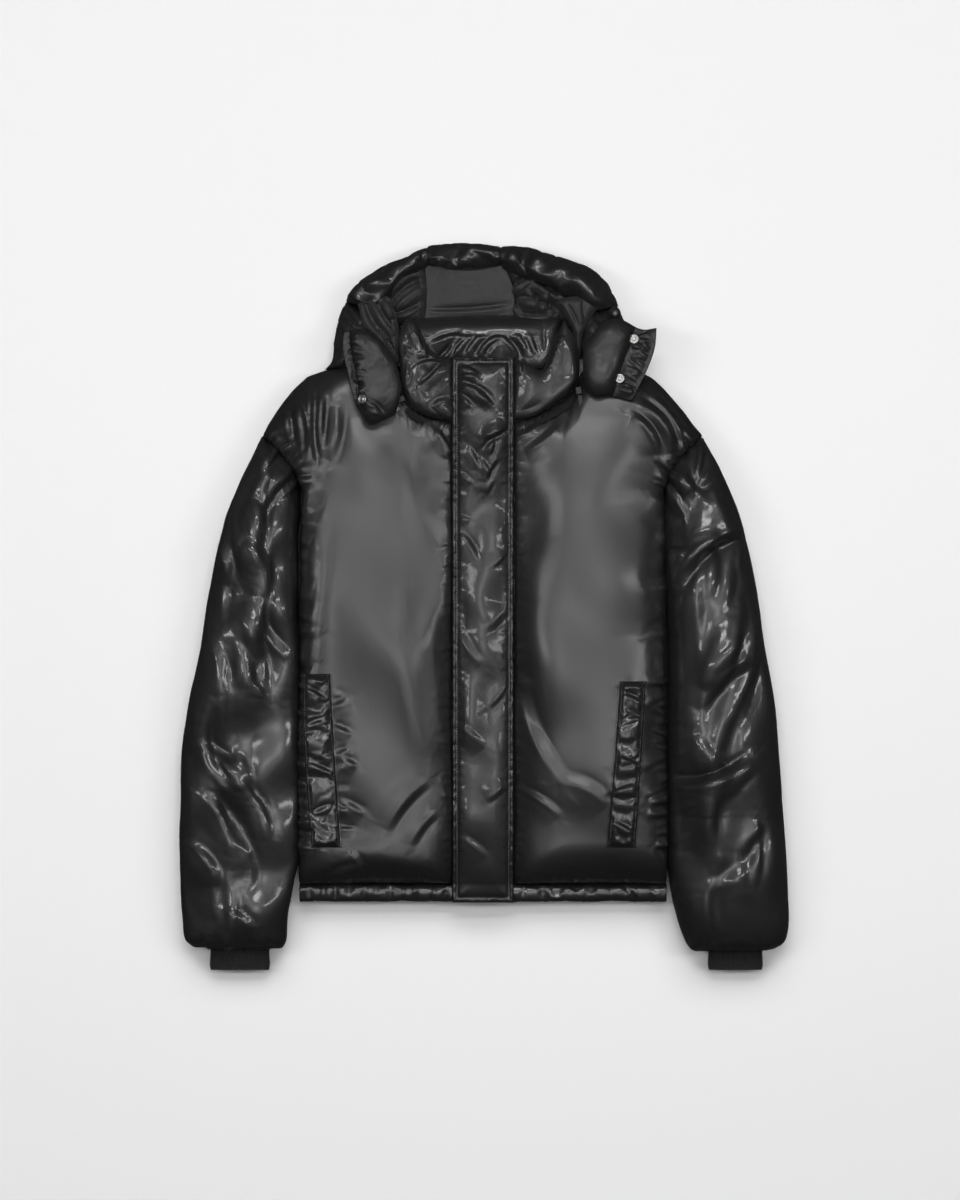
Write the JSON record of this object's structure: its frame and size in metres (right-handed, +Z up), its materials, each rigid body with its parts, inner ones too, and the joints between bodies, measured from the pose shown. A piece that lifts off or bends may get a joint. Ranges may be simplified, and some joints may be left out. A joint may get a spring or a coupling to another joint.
{
  "type": "hooded puffer jacket",
  "caption": "Hooded puffer jacket laid flat, front closed, with a storm flap, stand collar, padded hood laid open, welt pockets and rib cuffs.",
  "frame": {"origin": "on the flat underside of the back panel, on the centre line, 352 mm above the hem seam", "axes": "+X to the wearer's left, +Y from the hem to the hood, +Z up out of the surface that the jacket lies on"},
  "size_m": [0.7808, 0.9301, 0.1099],
  "materials": {
    "shell_nylon": "black coated nylon, glossy, over soft padding",
    "lining_nylon": "black plain-weave lining, nearly matte",
    "rib_knit": "black rib knit, matte",
    "zip_tape": "black woven zip tape with moulded teeth",
    "zip_metal": "black painted zip slider and pull tab",
    "snap_steel": "silver ring-faced press stud"
  },
  "bodies": {
    "jacket": {"back_panel": "shell_nylon", "front_right": "shell_nylon", "front_left": "shell_nylon", "hem_back": "shell_nylon", "hem_right": "shell_nylon", "hem_left": "shell_nylon", "placket": "shell_nylon", "pocket_welt_right": "shell_nylon", "pocket_welt_left": "shell_nylon", "sleeve_right": "shell_nylon", "sleeve_left": "shell_nylon", "collar_right": "shell_nylon", "collar_left": "shell_nylon", "collar_back": "shell_nylon", "hood_shell": "shell_nylon", "hood_rim_right": "shell_nylon", "hood_rim_centre": "shell_nylon", "hood_rim_left": "shell_nylon", "hood_channel_end": "shell_nylon", "hood_side_right": "shell_nylon", "hood_side_left": "shell_nylon", "hood_flap_right": "shell_nylon", "hood_flap_left": "shell_nylon", "hood_lining_right": "lining_nylon", "hood_lining_centre": "lining_nylon", "hood_lining_left": "lining_nylon", "cuff_right": "rib_knit", "cuff_left": "rib_knit", "front_zip": "zip_tape", "hood_zip_right": "zip_tape", "hood_zip_left": "zip_tape", "hood_slider_right": "zip_metal", "hood_slider_left": "zip_metal", "snap_left_upper": "snap_steel", "snap_left_lower": "snap_steel", "snap_right": "snap_steel"},
    "pull_left": {"pull_tab_left": "zip_metal"},
    "pull_right": {"pull_tab_right": "zip_metal"}
  },
  "joints": [
    {"name": "hood_zip_pull_left", "type": "hinge", "parent": "jacket", "child": "pull_left", "pos_m": [0.12265, 0.2725, 0.0776], "axis": [-0.9848, -0.1736, 0], "range_deg": [0, 110]},
    {"name": "hood_zip_pull_right", "type": "hinge", "parent": "jacket", "child": "pull_right", "pos_m": [-0.1102, 0.26574, 0.0776], "axis": [-0.342, 0.9397, 0], "range_deg": [0, 7]}
  ]
}
